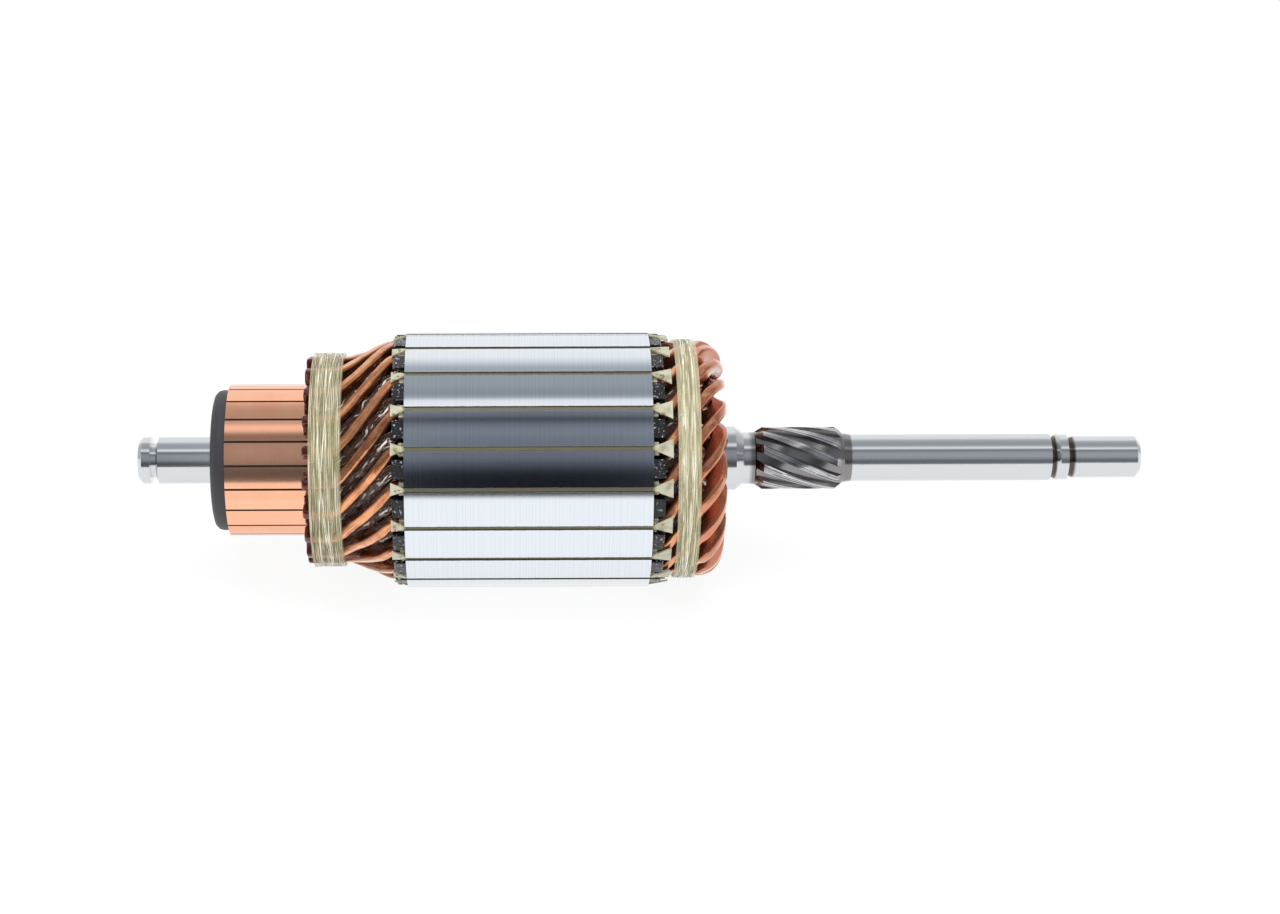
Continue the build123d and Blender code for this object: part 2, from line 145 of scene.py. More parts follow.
milling = add_node(
    tree,
    "ShaderNodeTexNoise",
    {"W": unscrewed, "Scale": SPLINE_CREST / MILLING_LINE, "Detail": 2.0},
    noise_dimensions="1D",
).outputs["Fac"]
smears = add_node(
    tree, "ShaderNodeMath", {0: smears, 1: SMEAR_SHARE, 2: milling}, operation="MULTIPLY_ADD"
).outputs[0]
smear_depth = add_node(
    tree, "ShaderNodeMapRange", {"Value": smears, "From Min": 0.5, "From Max": 0.85}
).outputs[0]
crest_colour = add_node(
    tree,
    "ShaderNodeMix",
    {0: smear_depth, 6: linear(SMEARED_OIL), 7: linear(OILED_STEEL)},
    data_type="RGBA",
).outputs[2]
from_axis = add_node(
    tree, "ShaderNodeVectorMath", {0: place, 1: (0.0, 1.0, 1.0)}, operation="MULTIPLY"
).outputs[0]
radius = add_node(tree, "ShaderNodeVectorMath", {0: from_axis}, operation="LENGTH").outputs["Value"]
# Below the crest radius the steel is painted darker as shade, in the spline roots and on the neck.
on_crest = add_node(
    tree,
    "ShaderNodeMapRange",
    {"Value": radius, "From Min": SPLINE_ROOT * MM, "From Max": SPLINE_CREST * MM},
).outputs[0]
oil_and_root_shade_colour = add_node(
    tree,
    "ShaderNodeMix",
    {0: on_crest, 6: linear(ROOT_PAINTED_SHADE), 7: crest_colour},
    data_type="RGBA",
).outputs[2]
past_journal = add_node(
    tree,
    "ShaderNodeMapRange",
    {"Value": along, "From Min": (GROOVES_FROM - 0.1) * MM, "From Max": (GROOVES_FROM + 0.1) * MM},
).outputs[0]
before_end = add_node(
    tree,
    "ShaderNodeMapRange",
    {"Value": along, "From Min": (GROOVES_TO + 0.3) * MM, "From Max": (GROOVES_TO - 0.3) * MM},
).outputs[0]
below_land = add_node(
    tree,
    "ShaderNodeMapRange",
    {"Value": radius, "From Min": RING_LAND * MM, "From Max": (RING_LAND - 0.25) * MM},
).outputs[0]
# Inside the ring grooves, below the land, the steel is painted darker as shade.
in_groove = add_node(
    tree, "ShaderNodeMath", {0: past_journal, 1: before_end}, operation="MULTIPLY"
).outputs[0]
in_groove = add_node(
    tree, "ShaderNodeMath", {0: in_groove, 1: below_land}, operation="MULTIPLY"
).outputs[0]
bare_colour = add_node(
    tree,
    "ShaderNodeMix",
    {0: in_groove, 6: linear(SHAFT_STEEL), 7: linear(GROOVE_PAINTED_SHADE)},
    data_type="RGBA",
).outputs[2]
steel_colour = add_node(
    tree,
    "ShaderNodeMix",
    {0: oiled, 6: bare_colour, 7: oil_and_root_shade_colour},
    data_type="RGBA",
).outputs[2]
grip = add_node(
    tree, "ShaderNodeMapRange", {"Value": grinding, "To Min": 0.08, "To Max": 0.18}
).outputs[0]
roughness = add_node(
    tree, "ShaderNodeMath", {0: oiled, 1: OIL_DULLING, 2: grip}, operation="MULTIPLY_ADD"
)
bump = add_node(
    tree, "ShaderNodeBump", {"Height": grinding, "Strength": 0.25, "Distance": 0.004 * MM}
)
tree.links.new(steel_colour, shader.inputs["Base Color"])
tree.links.new(roughness.outputs[0], shader.inputs["Roughness"])
tree.links.new(bump.outputs[0], shader.inputs["Normal"])
dress(shaft_steel, "shaft")

# Core. About a hundred punched steel sheets pressed on the shaft and turned round, under a thin clear
# varnish. Each sheet leaves a fine line round the core, and brown varnish has dried along the slots.
SHEET = 0.5
SLOTS = 20
CORE_RADIUS = 30.0
SLOT_OPENING = 0.9
VARNISH_EDGE, VARNISH_BLOTCH = 0.198, 1.111
SLOTS_PER_MM = SLOTS / (2 * pi * CORE_RADIUS)
TURNED_STEEL = "#e6ecf2"
SHEET_JOINT = "#e0e6ed"
DRIED_VARNISH = "#47443a"

# Turned electrical steel gives a bluish mirror, broken into faint bands by the edges of the sheets.
# The dried varnish is a dull, ragged brown line along each slot.
core_steel, tree, shader = new_material("turned_core_steel")
place = add_node(tree, "ShaderNodeTexCoord").outputs["Object"]
axes = add_node(tree, "ShaderNodeSeparateXYZ", {0: place})
sheets = add_node(
    tree,
    "ShaderNodeTexNoise",
    {"W": axes.outputs["X"], "Scale": 1 / (0.7 * SHEET * MM), "Detail": 1.0},
    noise_dimensions="1D",
).outputs["Fac"]
blotches = add_node(
    tree, "ShaderNodeTexNoise", {"Vector": place, "Scale": 1 / (VARNISH_BLOTCH * MM), "Detail": 4.0}
).outputs["Fac"]
turn = add_node(
    tree, "ShaderNodeMath", {0: axes.outputs["Z"], 1: axes.outputs["Y"]}, operation="ARCTAN2"
).outputs[0]
slots_round = add_node(
    tree, "ShaderNodeMath", {0: turn, 1: SLOTS / (2 * pi)}, operation="MULTIPLY"
).outputs[0]
from_slot = add_node(tree, "ShaderNodeMath", {0: slots_round, 1: 0.5}, operation="PINGPONG").outputs[0]
ragged_edge = add_node(
    tree,
    "ShaderNodeMath",
    {0: blotches, 1: -VARNISH_EDGE * SLOTS_PER_MM, 2: from_slot},
    operation="MULTIPLY_ADD",
).outputs[0]
slot_edge = SLOT_OPENING / 2 * SLOTS_PER_MM
bare = add_node(
    tree,
    "ShaderNodeMapRange",
    {"Value": ragged_edge, "From Min": slot_edge - 0.004, "From Max": slot_edge + 0.002},
).outputs[0]
sheet_tone = add_node(
    tree, "ShaderNodeMapRange", {"Value": sheets, "From Min": 0.3, "From Max": 0.6}
).outputs[0]
sheet_colour = add_node(
    tree,
    "ShaderNodeMix",
    {0: sheet_tone, 6: linear(SHEET_JOINT), 7: linear(TURNED_STEEL)},
    data_type="RGBA",
).outputs[2]
core_colour = add_node(
    tree,
    "ShaderNodeMix",
    {0: bare, 6: linear(DRIED_VARNISH), 7: sheet_colour},
    data_type="RGBA",
).outputs[2]
metal = add_node(tree, "ShaderNodeMapRange", {"Value": bare, "To Min": 0.2, "To Max": 1.0}).outputs[0]
roughness = add_node(
    tree, "ShaderNodeMapRange", {"Value": sheets, "To Min": 0.09, "To Max": 0.12}
).outputs[0]
bump = add_node(
    tree, "ShaderNodeBump", {"Height": sheets, "Strength": 0.3, "Distance": 0.001 * MM}
)
tree.links.new(core_colour, shader.inputs["Base Color"])
tree.links.new(metal, shader.inputs["Metallic"])
tree.links.new(roughness, shader.inputs["Roughness"])
tree.links.new(bump.outputs[0], shader.inputs["Normal"])
dress(core_steel, "lamination_stack")

# End insulators. Black phenolic mouldings with the core's tooth pattern, which keep the bent wires off
# the steel. Powdery moulding and sprayed varnish leave them grainy, and small bright glints are painted
# on.
GRAIN = 0.8
GLINT_SPOT = 0.6
PAINTED_GLINT_GREY = "#9aa0a8"
PHENOLIC_BLACK = "#0d0e12"

# Moulded phenolic gives a half-glossy black. Its grain breaks it into dark lumps, and pale grey
# pinprick glints are painted on it as highlights.
phenolic, tree, shader = new_material("moulded_black_phenolic", Roughness=0.22, Coat_Weight=0.3)
place = add_node(tree, "ShaderNodeTexCoord").outputs["Object"]
grain = add_node(
    tree,
    "ShaderNodeTexNoise",
    {"Vector": place, "Scale": 1 / (GRAIN * MM), "Detail": 5.0, "Roughness": 0.65},
).outputs["Fac"]
glint_spots = add_node(
    tree, "ShaderNodeTexNoise", {"Vector": place, "Scale": 1 / (GLINT_SPOT * MM), "Detail": 2.0}
).outputs["Fac"]
# Pale grey specks painted where this noise is high stand in for glints.
painted_glint = add_node(
    tree, "ShaderNodeMapRange", {"Value": glint_spots, "From Min": 0.6, "From Max": 0.7}
).outputs[0]
phenolic_colour = add_node(
    tree,
    "ShaderNodeMix",
    {0: painted_glint, 6: linear(PHENOLIC_BLACK), 7: linear(PAINTED_GLINT_GREY)},
    data_type="RGBA",
).outputs[2]
bump = add_node(tree, "ShaderNodeBump", {"Height": grain, "Strength": 1.0, "Distance": 0.8 * MM})
tree.links.new(phenolic_colour, shader.inputs["Base Color"])
tree.links.new(bump.outputs[0], shader.inputs["Normal"])
tree.links.new(bump.outputs[0], shader.inputs["Coat Normal"])
dress(phenolic, "commutator_end_insulator", "drive_end_insulator")

# Slot liners. Cream insulating paper folded round the wires of each slot. Its lips stand in the slot
# opening and spread into a flap past each end of the core, soaked at the edges with varnish.
FIBRE, SOAK_PATCH = 0.3, 2.381
CORE_LEFT, CORE_RIGHT = (corner.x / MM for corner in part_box("lamination_stack"))
PAPER_CREAM = "#a3a18e"
PAPER_SOAKED = "#817d62"
SLOT_VARNISH = "#57543f"

# Varnished paper gives a soft cream sheen with fibres, and goes olive where the varnish soaked in.
paper, tree, shader = new_material("varnished_liner_paper", Roughness=0.5, Coat_Weight=0.25)
place = add_node(tree, "ShaderNodeTexCoord").outputs["Object"]
along = add_node(tree, "ShaderNodeSeparateXYZ", {0: place}).outputs["X"]
fibres = add_node(
    tree,
    "ShaderNodeTexNoise",
    {"Vector": place, "Scale": 1 / (FIBRE * MM), "Detail": 4.0},
).outputs["Fac"]
soak = add_node(
    tree, "ShaderNodeTexNoise", {"Vector": place, "Scale": 1 / (SOAK_PATCH * MM), "Detail": 2.0}
).outputs["Fac"]
soaked = add_node(
    tree, "ShaderNodeMapRange", {"Value": soak, "From Min": 0.45, "From Max": 0.72}
).outputs[0]
flap_colour = add_node(
    tree,
    "ShaderNodeMix",
    {0: soaked, 6: linear(PAPER_CREAM), 7: linear(PAPER_SOAKED)},
    data_type="RGBA",
).outputs[2]
from_middle = add_node(
    tree, "ShaderNodeMath", {0: along, 1: (CORE_LEFT + CORE_RIGHT) / 2 * MM}, operation="SUBTRACT"
).outputs[0]
from_middle = add_node(tree, "ShaderNodeMath", {0: from_middle}, operation="ABSOLUTE").outputs[0]
past_core = add_node(
    tree,
    "ShaderNodeMapRange",
    {
        "Value": from_middle,
        "From Min": ((CORE_RIGHT - CORE_LEFT) / 2 - 0.3) * MM,
        "From Max": ((CORE_RIGHT - CORE_LEFT) / 2 + 0.6) * MM,
    },
).outputs[0]
paper_colour = add_node(
    tree,
    "ShaderNodeMix",
    {0: past_core, 6: linear(SLOT_VARNISH), 7: flap_colour},
    data_type="RGBA",
).outputs[2]
bump = add_node(tree, "ShaderNodeBump", {"Height": fibres, "Strength": 0.5, "Distance": 0.06 * MM})
tree.links.new(paper_colour, shader.inputs["Base Color"])
tree.links.new(bump.outputs[0], shader.inputs["Normal"])
dress(paper, "slot_liners")

# Winding. Twenty hairpins of enamelled rectangular copper wire, pushed through the slots from the
# drive end. Their legs are bent round to the commutator bars and welded there, and each knuckle rolls
# from the upper layer down into the lower one. Lengths along it are counted from the core's ends.
WIRE_WIDTH, WIRE_HEIGHT, WIRE_CORNER = 2.4, 4.0, 0.75
UPPER, LOWER = 26.2, 21.85
UPPER_LANDING, LOWER_LANDING = 22.4, 17.9
PITCH = 2 * pi / SLOTS
COIL_SPAN, BAR_STEP = 5, 2
BEND = 1.4
FRONT_BEND, LANDING_BEND, WIRE_END = 2.7, 15.9, 23.4
UPPER_DROP, LOWER_DROP = 14.1, 12.0
FRONT_RATE = BAR_STEP * PITCH / (LANDING_BEND - FRONT_BEND)
BACK_BEND, KNUCKLE_START = 2.9, 11.8
BAND_FROM, BAND_TO, BAND_DIP = 5.7, 10.9, 0.4
UPPER_KNUCKLE, LOWER_KNUCKLE = UPPER - 0.5, LOWER - 3.0
KNUCKLE_RING = (UPPER_KNUCKLE + LOWER_KNUCKLE) / 2
KNUCKLE_REACH = (UPPER_KNUCKLE - LOWER_KNUCKLE) / 2
HALF_SPAN = (KNUCKLE_START - BACK_BEND) / UPPER + KNUCKLE_REACH * pi / 2 / KNUCKLE_RING
SLOPE = COIL_SPAN / 2 * PITCH / HALF_SPAN
BACK_RATE = SLOPE / UPPER
END_ROUND, END_PINCH = 0.55, 0.4
FRONT_STEPS, BACK_STEPS, KNUCKLE_STEPS = 36, 24, 24
END_STEPS, CORNER_STEPS = 3, 4


def ramp(distance, length):
    """Rises smoothly from 0 to 1 over a length."""
    t = min(max(distance / length, 0), 1)
    return t * t * (3 - 2 * t)


def slanted(past_corner):
    """Slanted length gained past a corner that is rounded over BEND to either side."""
    if past_corner <= -BEND:
        return 0
    if past_corner >= BEND:
        return past_corner
    return (past_corner + BEND) ** 2 / (4 * BEND)


def station(x, radius, turn, around):
    """Centre of the wire with the directions of its height and its width."""
    up = Vector((0, cos(turn), sin(turn)))
    side = Vector((0, -sin(turn), cos(turn)))
    heading = (Vector((1, 0, 0)) + side * around).normalized()
    return Vector((x, 0, 0)) + up * radius, up, heading.cross(up)


def front_leg(layer, landing, drop, turn, sense):
    """Stations of a leg from its slot to its end on the commutator bar."""
    stations = []
    for step in range(FRONT_STEPS + 1):
        out = FRONT_BEND - BEND + (WIRE_END - FRONT_BEND + BEND) * step / FRONT_STEPS
        radius = layer + (landing - layer) * ramp(out - FRONT_BEND + 1, drop - FRONT_BEND + 1)
        run = slanted(out - FRONT_BEND) - slanted(out - LANDING_BEND)
        slant = ramp(out - FRONT_BEND + BEND, 2 * BEND) - ramp(out - LANDING_BEND + BEND, 2 * BEND)
        around = -sense * radius * FRONT_RATE * slant
        stations.append(station(CORE_LEFT - out, radius, turn + sense * FRONT_RATE * run, around))
    return stations


def back_leg(layer, knuckle_end, turn, sense):
    """Stations of a leg from its slot, under the band, to the start of the knuckle."""
    stations = []
    for step in range(BACK_STEPS + 1):
        out = BACK_BEND - BEND + (KNUCKLE_START - BACK_BEND + BEND) * step / BACK_STEPS
        dip = min(
            ramp(out - BACK_BEND, BAND_FROM - BACK_BEND),
            ramp(KNUCKLE_START - out, KNUCKLE_START - BAND_TO),
        )
        spread = ramp(out - BACK_BEND, BAND_FROM - BACK_BEND)
        radius = layer + (knuckle_end - layer) * spread - BAND_DIP * dip
        around = sense * radius * BACK_RATE * ramp(out - BACK_BEND + BEND, 2 * BEND)
        angle = turn + sense * BACK_RATE * slanted(out - BACK_BEND)
        stations.append(station(CORE_RIGHT + out, radius, angle, around))
    return stations


def knuckle():
    """Stations of the half turn from the upper layer down into the lower one."""
    stations = []
    for step in range(1, KNUCKLE_STEPS):
        roll = pi * step / KNUCKLE_STEPS
        turn = -BACK_RATE * (KNUCKLE_START - BACK_BEND) - KNUCKLE_REACH * roll * SLOPE / KNUCKLE_RING
        up = Vector((0, cos(turn), sin(turn)))
        side = Vector((0, -sin(turn), cos(turn)))
        away = up * cos(roll) + Vector((sin(roll), 0, 0))
        heading = (Vector((cos(roll), 0, 0)) - up * sin(roll) - side * SLOPE).normalized()
        centre = Vector((CORE_RIGHT + KNUCKLE_START, 0, 0)) + up * KNUCKLE_RING
        stations.append((centre + away * KNUCKLE_REACH, away, heading.cross(away)))
    return stations


def pressed_end(leg):
    """The same leg with its free end crushed round, as the hot welding tool leaves it."""
    centre, up, across = leg[-1]
    back = (leg[-2][0] - centre).normalized()
    rounded = []
    for step in range(END_STEPS + 1):
        roll = pi / 2 * step / END_STEPS
        share = 1 - END_PINCH * (1 - cos(roll))
        rounded.append((centre + back * END_ROUND * (1 - sin(roll)), up * share, across * share))
    return leg[:-1] + rounded


def wire_section():
    """Points round the wire's section, in millimetres along its height and its width."""
    points = []
    for corner in range(4):
        for step in range(CORNER_STEPS + 1):
            angle = (corner + step / CORNER_STEPS) * pi / 2
            up = (WIRE_HEIGHT / 2 - WIRE_CORNER) * (1 if corner in (0, 3) else -1)
            across = (WIRE_WIDTH / 2 - WIRE_CORNER) * (1 if corner in (0, 1) else -1)
            points.append((up + WIRE_CORNER * cos(angle), across + WIRE_CORNER * sin(angle)))
    return points


def swept_mesh(name, stations, section):
    """A closed mesh with the section carried along the stations, unrolled in millimetres as its UV."""
    points, faces, unrolled = [], [], []
    for centre, up, across in stations:
        points += [(centre + up * u + across * a) * MM for u, a in section]
    count = len(section)
    girth = [0.0]
    for i in range(count):
        girth.append(girth[-1] + (Vector(section[(i + 1) % count]) - Vector(section[i])).length)
    length = 0.0
    for ring in range(len(stations) - 1):
        reach = length + (stations[ring + 1][0] - stations[ring][0]).length
        for i in range(count):
            j = (i + 1) % count
            low, high = ring * count, (ring + 1) * count
            faces.append((low + i, low + j, high + j, high + i))
            here, ahead = girth[i], girth[i + 1]
            unrolled += [(length, here), (length, ahead), (reach, ahead), (reach, here)]
        length = reach
    faces.append(tuple(reversed(range(count))))
    faces.append(tuple(range((len(stations) - 1) * count, len(stations) * count)))
    unrolled += [(0.0, girth[i]) for i in reversed(range(count))]
    unrolled += [(length, girth[i]) for i in range(count)]
    mesh = bpy.data.meshes.new(name)
    mesh.from_pydata(points, [], faces)
    layer = mesh.uv_layers.new(name="unrolled")
    for place_on_wire, uv in zip(layer.uv, unrolled):
        place_on_wire.vector = uv
    mesh.shade_smooth()
    return mesh


def new_pattern(name, **sizes):
    """A geometry node tree with one input for each size, and its group input and output nodes."""
    tree = bpy.data.node_groups.new(name, "GeometryNodeTree")
    tree.interface.new_socket("Geometry", in_out="INPUT", socket_type="NodeSocketGeometry")
    tree.interface.new_socket("Geometry", in_out="OUTPUT", socket_type="NodeSocketGeometry")
    kinds = {int: "NodeSocketInt", float: "NodeSocketFloat", bpy.types.Material: "NodeSocketMaterial"}
    for label, value in sizes.items():
        socket = tree.interface.new_socket(label, in_out="INPUT", socket_type=kinds[type(value)])
        socket.default_value = value
    return tree, tree.nodes.new("NodeGroupInput"), tree.nodes.new("NodeGroupOutput")


def grow(name, seed_mesh, tree, **sizes):
    """Runs a geometry node tree on a mesh and keeps the result as a plain mesh object."""
    source = bpy.data.objects.new(name + "_seed", seed_mesh)
    bpy.context.scene.collection.objects.link(source)
    modifier = source.modifiers.new("pattern", "NODES")
    modifier.node_group = tree
    for item in tree.interface.items_tree:
        if item.in_out == "INPUT" and item.name in sizes:
            modifier[item.identifier] = sizes[item.name]
    graph = bpy.context.evaluated_depsgraph_get()
    mesh = bpy.data.meshes.new_from_object(source.evaluated_get(graph))
    source.modifiers.remove(modifier)
    bpy.data.objects.remove(source)
    piece = bpy.data.objects.new(name, mesh)
    bpy.context.scene.collection.objects.link(piece)
    return piece


WIRE_COPPER = "#f2a873"
WIRE_SHADE = "#a1502a"
FLANK_PAINTED_SHADE = "#6b2d15"
DRIVE_END_ENAMEL = "#cf8262"
SCORCHED_ENAMEL = "#6b2f22"
SCORCHED_TO = CORE_LEFT - WIRE_END + 2.2
DRAW_LINE, DRAW_LENGTH, ENAMEL_PATCH = 0.45, 7.0, 3.846
FLANK_FROM, FLANK_TO, FLANK_SHARE = 0.55, 1.5, 0.85
DRIVE_END_FADE, DRIVE_END_SHARE = 10.0, 0.75
WIRE_GIRTH = 2 * (WIRE_WIDTH + WIRE_HEIGHT) - (8 - 2 * pi) * WIRE_CORNER

# Enamelled copper gives orange metal under a clear gloss, with draw lines along the wire. Painted shade
# darkens the flanks brown, the drive end is given a darker, pinker tone, and welding has scorched the
# ends.
wire_copper, tree, shader = new_material(
    "enamelled_copper_wire", Metallic=0.92, Roughness=0.17, Coat_Weight=1.0, Coat_Roughness=0.04
)
texture = add_node(tree, "ShaderNodeTexCoord")
place = texture.outputs["Object"]
along = add_node(tree, "ShaderNodeSeparateXYZ", {0: place}).outputs["X"]
drawn = add_node(
    tree,
    "ShaderNodeVectorMath",
    {0: texture.outputs["UV"], 1: (1 / DRAW_LENGTH, 1 / DRAW_LINE, 1.0)},
    operation="MULTIPLY",
).outputs[0]
draw_lines = add_node(
    tree, "ShaderNodeTexNoise", {"Vector": drawn, "Scale": 1.0, "Detail": 3.0}
).outputs["Fac"]
patches = add_node(
    tree,
    "ShaderNodeTexNoise",
    {"Vector": place, "Scale": 1 / (ENAMEL_PATCH * MM), "Detail": 5.0, "Roughness": 0.6},
).outputs["Fac"]
streaks = add_node(
    tree, "ShaderNodeMath", {0: draw_lines, 1: patches}, operation="ADD"
).outputs[0]
patchy = add_node(
    tree, "ShaderNodeMapRange", {"Value": streaks, "From Min": 0.92, "From Max": 1.3}
).outputs[0]
girth_place = add_node(
    tree, "ShaderNodeSeparateXYZ", {0: texture.outputs["UV"]}
).outputs["Y"]
# The flanks, away from the top face, are painted dark brown as shade.
from_top = add_node(
    tree, "ShaderNodeMath", {0: girth_place, 1: WIRE_WIDTH / 2 - WIRE_CORNER}, operation="ADD"
).outputs[0]
from_top = add_node(
    tree, "ShaderNodeMath", {0: from_top, 1: WIRE_GIRTH / 2}, operation="PINGPONG"
).outputs[0]
flank_shade = add_node(
    tree,
    "ShaderNodeMapRange",
    {"Value": from_top, "From Min": FLANK_FROM, "From Max": FLANK_TO, "To Max": FLANK_SHARE},
).outputs[0]
scorched = add_node(
    tree,
    "ShaderNodeMapRange",
    {"Value": along, "From Min": (SCORCHED_TO + 1.0) * MM, "From Max": (SCORCHED_TO - 0.6) * MM},
).outputs[0]
enamel_colour = add_node(
    tree,
    "ShaderNodeMix",
    {0: patchy, 6: linear(WIRE_COPPER), 7: linear(WIRE_SHADE)},
    data_type="RGBA",
).outputs[2]
enamel_colour = add_node(
    tree,
    "ShaderNodeMix",
    {0: flank_shade, 6: enamel_colour, 7: linear(FLANK_PAINTED_SHADE)},
    data_type="RGBA",
).outputs[2]
# Past the core's drive end the wire is given a darker, pinker tone.
drive_end = add_node(
    tree,
    "ShaderNodeMapRange",
    {
        "Value": along,
        "From Min": CORE_RIGHT * MM,
        "From Max": (CORE_RIGHT + DRIVE_END_FADE) * MM,
        "To Max": DRIVE_END_SHARE,
    },
).outputs[0]
end_toned_colour = add_node(
    tree,
    "ShaderNodeMix",
    {0: drive_end, 6: enamel_colour, 7: linear(DRIVE_END_ENAMEL)},
    data_type="RGBA",
).outputs[2]
wire_colour = add_node(
    tree,
    "ShaderNodeMix",
    {0: scorched, 6: end_toned_colour, 7: linear(SCORCHED_ENAMEL)},
    data_type="RGBA",
).outputs[2]
dents = add_node(
    tree, "ShaderNodeMath", {0: draw_lines, 1: 0.6, 2: patches}, operation="MULTIPLY_ADD"
).outputs[0]
bump = add_node(tree, "ShaderNodeBump", {"Height": dents, "Strength": 0.8, "Distance": 0.25 * MM})
tree.links.new(wire_colour, shader.inputs["Base Color"])
tree.links.new(bump.outputs[0], shader.inputs["Normal"])

ring_tree, given, result = new_pattern(
    "ring_of_copies", Copies=SLOTS, Unevenness=0.0, Ripple=9.0 * MM, Finish=wire_copper
)
spots = add_node(ring_tree, "GeometryNodePoints", {"Count": given.outputs["Copies"]})
index = add_node(ring_tree, "GeometryNodeInputIndex").outputs[0]
step = add_node(
    ring_tree, "ShaderNodeMath", {0: 2 * pi, 1: given.outputs["Copies"]}, operation="DIVIDE"
).outputs[0]
angle = add_node(ring_tree, "ShaderNodeMath", {0: index, 1: step}, operation="MULTIPLY").outputs[0]
turned = add_node(ring_tree, "ShaderNodeCombineXYZ", {"X": angle}).outputs[0]
copies = add_node(
    ring_tree,
    "GeometryNodeInstanceOnPoints",
    {"Points": spots.outputs[0], "Instance": given.outputs["Geometry"], "Rotation": turned},
).outputs[0]
solid = add_node(ring_tree, "GeometryNodeRealizeInstances", {"Geometry": copies}).outputs[0]
where = add_node(ring_tree, "GeometryNodeInputPosition").outputs[0]
ripples = add_node(
    ring_tree, "ShaderNodeMath", {0: 1.0, 1: given.outputs["Ripple"]}, operation="DIVIDE"
).outputs[0]
drift = add_node(
    ring_tree, "ShaderNodeTexNoise", {"Vector": where, "Scale": ripples, "Detail": 2.0}
).outputs["Color"]
centred = add_node(
    ring_tree, "ShaderNodeVectorMath", {0: drift, 1: (0.5, 0.5, 0.5)}, operation="SUBTRACT"
).outputs[0]
shift = add_node(
    ring_tree,
    "ShaderNodeVectorMath",
    {0: centred, "Scale": given.outputs["Unevenness"]},
    operation="SCALE",
).outputs[0]
moved = add_node(ring_tree, "GeometryNodeSetPosition", {"Geometry": solid, "Offset": shift}).outputs[0]
finished = add_node(
    ring_tree, "GeometryNodeSetMaterial", {"Geometry": moved, "Material": given.outputs["Finish"]}
).outputs[0]
ring_tree.links.new(finished, result.inputs[0])

wire_path = [
    *reversed(pressed_end(front_leg(UPPER, UPPER_LANDING, UPPER_DROP, 0, 1))),
    *back_leg(UPPER, UPPER_KNUCKLE, 0, -1),
    *knuckle(),
    *reversed(back_leg(LOWER, LOWER_KNUCKLE, -COIL_SPAN * PITCH, 1)),
    *pressed_end(front_leg(LOWER, LOWER_LANDING, LOWER_DROP, -COIL_SPAN * PITCH, -1)),
]
hairpin_mesh = swept_mesh("hairpin", wire_path, wire_section())
winding = grow(
    "winding",
    hairpin_mesh,
    ring_tree,
    Copies=SLOTS,
    Unevenness=0.5 * MM,
    Ripple=6.0 * MM,
    Finish=wire_copper,
)
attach(winding, "root")
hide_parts(*[f"hairpin_{number:02d}" for number in range(1, SLOTS + 1)])

# Impregnating varnish. Resin trickled on the turning armature ran between the bent wires and set there
# in dark, wet-looking webs with wrinkled tops, which close the gaps down to the lower layer.
WEB_WIDTH, WEB_HEIGHT = 3.4, 2.4
WEB_SINK = 1.6
WEB_SIDES, WEB_SHORTER = 12, 3
WRINKLE, WRINKLE_LENGTH = 0.8, 4.0
VARNISH_BROWN = "#3c261c"
VARNISH_PAINTED_GLINT = "#dbd4cb"

# Trickled varnish gives a near-black brown, with pale painted glints streaked along its wrinkles.
varnish, tree, shader = new_material(
    "trickled_brown_varnish", Roughness=0.2, Coat_Weight=1.0, Coat_Roughness=0.05
)
unrolled = add_node(tree, "ShaderNodeTexCoord").outputs["UV"]
drawn_out = add_node(
    tree,
    "ShaderNodeVectorMath",
    {0: unrolled, 1: (1 / WRINKLE_LENGTH, 1 / WRINKLE, 1.0)},
    operation="MULTIPLY",
).outputs[0]
wrinkles = add_node(
    tree,
    "ShaderNodeTexNoise",
    {"Vector": drawn_out, "Scale": 1.0, "Detail": 3.0, "Roughness": 0.6, "Distortion": 0.8},
).outputs["Fac"]
# Pale streaks painted on the wrinkle tops stand in for white glints.
web_glint = add_node(
    tree, "ShaderNodeMapRange", {"Value": wrinkles, "From Min": 0.56, "From Max": 0.66}
).outputs[0]
varnish_colour = add_node(
    tree,
    "ShaderNodeMix",
    {0: web_glint, 6: linear(VARNISH_BROWN), 7: linear(VARNISH_PAINTED_GLINT)},
    data_type="RGBA",
).outputs[2]
bump = add_node(tree, "ShaderNodeBump", {"Height": wrinkles, "Strength": 1.0, "Distance": 1.3 * MM})
tree.links.new(varnish_colour, shader.inputs["Base Color"])
tree.links.new(bump.outputs[0], shader.inputs["Normal"])
tree.links.new(bump.outputs[0], shader.inputs["Coat Normal"])


def web_section():
    """Points round a rounded web, in millimetres along its height and its width."""
    turns = [2 * pi * step / WEB_SIDES for step in range(WEB_SIDES)]
    return [(WEB_HEIGHT / 2 * cos(a), WEB_WIDTH / 2 * sin(a)) for a in turns]


front_web = front_leg(UPPER - WEB_SINK, UPPER_LANDING - WEB_SINK, UPPER_DROP, PITCH / 2, 1)
back_web = back_leg(UPPER - WEB_SINK, UPPER_KNUCKLE - WEB_SINK, PITCH / 2, -1)
for name, stations in (
    ("front_varnish_webs", list(reversed(front_web[:-WEB_SHORTER]))),
    ("back_varnish_webs", back_web[:-WEB_SHORTER]),
):
    web = grow(
        name,
        swept_mesh(name, stations, web_section()),
        ring_tree,
        Copies=SLOTS,
        Unevenness=2.4 * MM,
        Ripple=3.0 * MM,
        Finish=varnish,
    )
    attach(web, "root")

# Resin beads. Drops of the same resin set hard round the paper flaps at both ends of the core, where
# the slots held it back.
BEAD_SIZE = 0.42
BEADS_PER_MM2 = 0.5
PATCH_WIDTH, PATCH_FROM, PATCH_TO = 2.6, 0.1, 2.4
BEAD_AMBER = "#5f5734"
BEAD_CLOUDY = "#aba67f"

